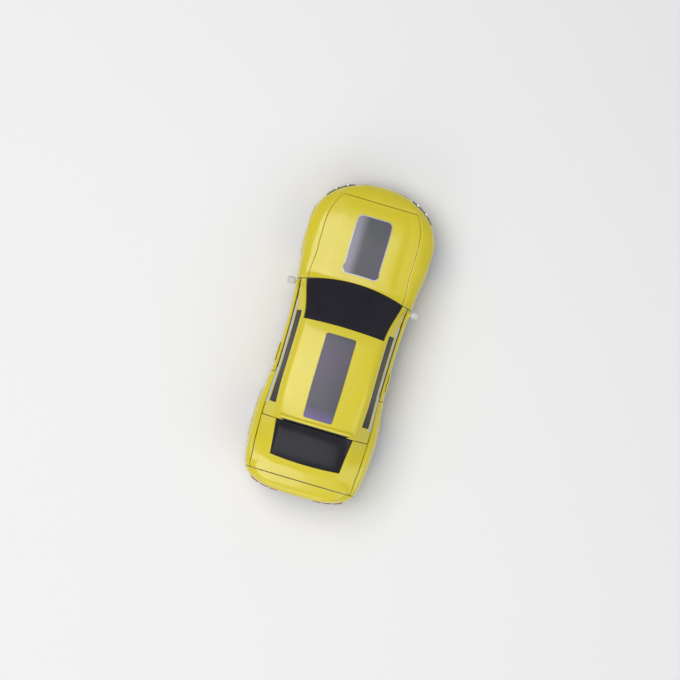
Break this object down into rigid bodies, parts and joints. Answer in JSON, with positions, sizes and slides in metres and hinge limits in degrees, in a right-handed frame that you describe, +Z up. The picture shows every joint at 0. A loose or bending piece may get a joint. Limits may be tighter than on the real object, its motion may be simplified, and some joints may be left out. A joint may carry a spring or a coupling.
{
  "type": "transforming robot car",
  "caption": "Toy coupe with steered front wheels and driven rear wheels, whose cabin stands up on the tail to make a robot with a head and arms.",
  "frame": {"origin": "on the ground under the middle of the car", "axes": "-Y is forwards, towards the nose; +X is the driver's left; +Z is up"},
  "size_m": [0.106, 0.25, 0.0707],
  "materials": {
    "yellow_body": "glossy moulded lemon yellow",
    "black_plastic": "satin moulded black",
    "grey_plastic": "satin moulded grey",
    "stripe_plastic": "matt dark grey-violet print",
    "dark_glazing": "glossy near-black",
    "white_plastic": "satin white",
    "red_plastic": "glossy red",
    "silver_plating": "bright vacuum plating",
    "tyre_rubber": "matt rubber",
    "steel": "bright",
    "nylon": "natural white",
    "lamp_lens": "clear lens over silver",
    "circuit_board": "green solder mask",
    "battery_sleeve": "blue shrink sleeve"
  },
  "bodies": {
    "base": {"chassis_plate": "black_plastic", "lower_leg_left": "grey_plastic", "lower_leg_right": "grey_plastic", "hip_frame": "black_plastic", "waist_pin": "steel", "drive_motor": "silver_plating", "battery_pack": "battery_sleeve", "battery_cover": "black_plastic", "cover_screw": "steel", "tail_shell": "yellow_body", "rear_window": "dark_glazing", "rear_quarter_left": "yellow_body", "rear_quarter_right": "yellow_body", "rear_bumper": "yellow_body"},
    "rear_wheels": {"rear_axle": "steel", "axle_gear": "nylon", "tyre_rear_left": "tyre_rubber", "tyre_rear_right": "tyre_rubber", "rim_rear_left": "silver_plating", "rim_rear_right": "silver_plating"},
    "pinion": {"motor_pinion": "steel"},
    "switch": {"power_switch": "red_plastic"},
    "torso": {"torso_frame": "black_plastic", "chest_plate": "red_plastic", "abdomen_plate": "silver_plating", "hip_plate": "white_plastic", "circuit_board": "circuit_board", "speaker": "black_plastic", "lift_motor": "silver_plating", "roof_shell": "yellow_body", "windshield": "dark_glazing", "roof_stripe": "stripe_plastic", "side_window_left": "dark_glazing", "side_window_right": "dark_glazing"},
    "clip": {"front_shell": "yellow_body", "hood_stripe": "stripe_plastic", "headlight_left": "lamp_lens", "headlight_right": "lamp_lens", "front_tray": "black_plastic", "clip_wall": "black_plastic", "steering_servo": "black_plastic", "front_beam": "grey_plastic"},
    "head": {"head_carriage": "grey_plastic", "helmet": "yellow_body", "visor": "dark_glazing"},
    "door_left": {"door_left": "yellow_body", "mirror_left": "grey_plastic", "upper_arm_left": "black_plastic"},
    "door_right": {"door_right": "yellow_body", "mirror_right": "grey_plastic", "upper_arm_right": "black_plastic"},
    "forearm_left": {"forearm_left": "white_plastic"},
    "forearm_right": {"forearm_right": "white_plastic"},
    "tie_rod": {"tie_rod": "steel"},
    "knuckle_left": {"knuckle_left": "grey_plastic"},
    "knuckle_right": {"knuckle_right": "grey_plastic"},
    "front_wheel_left": {"tyre_front_left": "tyre_rubber", "rim_front_left": "silver_plating"},
    "front_wheel_right": {"tyre_front_right": "tyre_rubber", "rim_front_right": "silver_plating"}
  },
  "joints": [
    {"name": "waist_hinge", "type": "hinge", "parent": "base", "child": "torso", "pos_m": [0, 0.068, 0.0664], "axis": [-1, 0, 0], "range_deg": [0, 90]},
    {"name": "clip_fold", "type": "hinge", "parent": "torso", "child": "clip", "pos_m": [0, -0.041, 0.009], "axis": [1, 0, 0], "range_deg": [0, 90]},
    {"name": "head_lift", "type": "slide", "parent": "clip", "child": "head", "axis": [0, 0, 1], "range_m": [0, 0.028]},
    {"name": "door_left_hinge", "type": "hinge", "parent": "torso", "child": "door_left", "pos_m": [0.0412, -0.033, 0.03], "axis": [0, 0, -1], "range_deg": [0, 35]},
    {"name": "door_right_hinge", "type": "hinge", "parent": "torso", "child": "door_right", "pos_m": [-0.0412, -0.033, 0.03], "axis": [0, 0, 1], "range_deg": [0, 35]},
    {"name": "forearm_left_hinge", "type": "hinge", "parent": "door_left", "child": "forearm_left", "pos_m": [0.037, 0.03, 0.03], "axis": [1, 0, 0], "range_deg": [0, 80]},
    {"name": "forearm_right_hinge", "type": "hinge", "parent": "door_right", "child": "forearm_right", "pos_m": [-0.037, 0.03, 0.03], "axis": [1, 0, 0], "range_deg": [0, 80]},
    {"name": "steering_left_turn", "type": "hinge", "parent": "clip", "child": "knuckle_left", "pos_m": [0.031, -0.078, 0.017], "axis": [0, 0, 1], "range_deg": [-16, 16]},
    {"name": "steering_right_turn", "type": "hinge", "parent": "clip", "child": "knuckle_right", "pos_m": [-0.031, -0.078, 0.017], "axis": [0, 0, 1], "range_deg": [-16, 16]},
    {"name": "tie_rod_slide", "type": "slide", "parent": "clip", "child": "tie_rod", "axis": [1, 0, 0], "range_m": [-0.0023, 0.0023]},
    {"name": "front_wheel_left_turn", "type": "hinge", "parent": "knuckle_left", "child": "front_wheel_left", "pos_m": [0.041, -0.078, 0.017], "axis": [1, 0, 0], "continuous": true},
    {"name": "front_wheel_right_turn", "type": "hinge", "parent": "knuckle_right", "child": "front_wheel_right", "pos_m": [-0.041, -0.078, 0.017], "axis": [1, 0, 0], "continuous": true},
    {"name": "rear_axle_turn", "type": "hinge", "parent": "base", "child": "rear_wheels", "pos_m": [0, 0.072, 0.017], "axis": [1, 0, 0], "continuous": true},
    {"name": "pinion_turn", "type": "hinge", "parent": "base", "child": "pinion", "pos_m": [0, 0.09, 0.017], "axis": [1, 0, 0], "continuous": true},
    {"name": "power_switch_slide", "type": "slide", "parent": "base", "child": "switch", "axis": [0, 1, 0], "range_m": [0, 0.006]}
  ],
  "couplings": [
    {"joint": "clip_fold", "follows": "waist_hinge", "ratio": 1},
    {"joint": "head_lift", "follows": "waist_hinge", "m_per_rad": 0.017762},
    {"joint": "door_left_hinge", "follows": "waist_hinge", "ratio": 0.388},
    {"joint": "door_right_hinge", "follows": "waist_hinge", "ratio": 0.388},
    {"joint": "forearm_left_hinge", "follows": "waist_hinge", "ratio": 0.888},
    {"joint": "forearm_right_hinge", "follows": "waist_hinge", "ratio": 0.888},
    {"joint": "steering_right_turn", "follows": "steering_left_turn", "ratio": 1},
    {"joint": "tie_rod_slide", "follows": "steering_left_turn", "m_per_rad": -0.00795},
    {"joint": "pinion_turn", "follows": "rear_axle_turn", "ratio": -2}
  ]
}
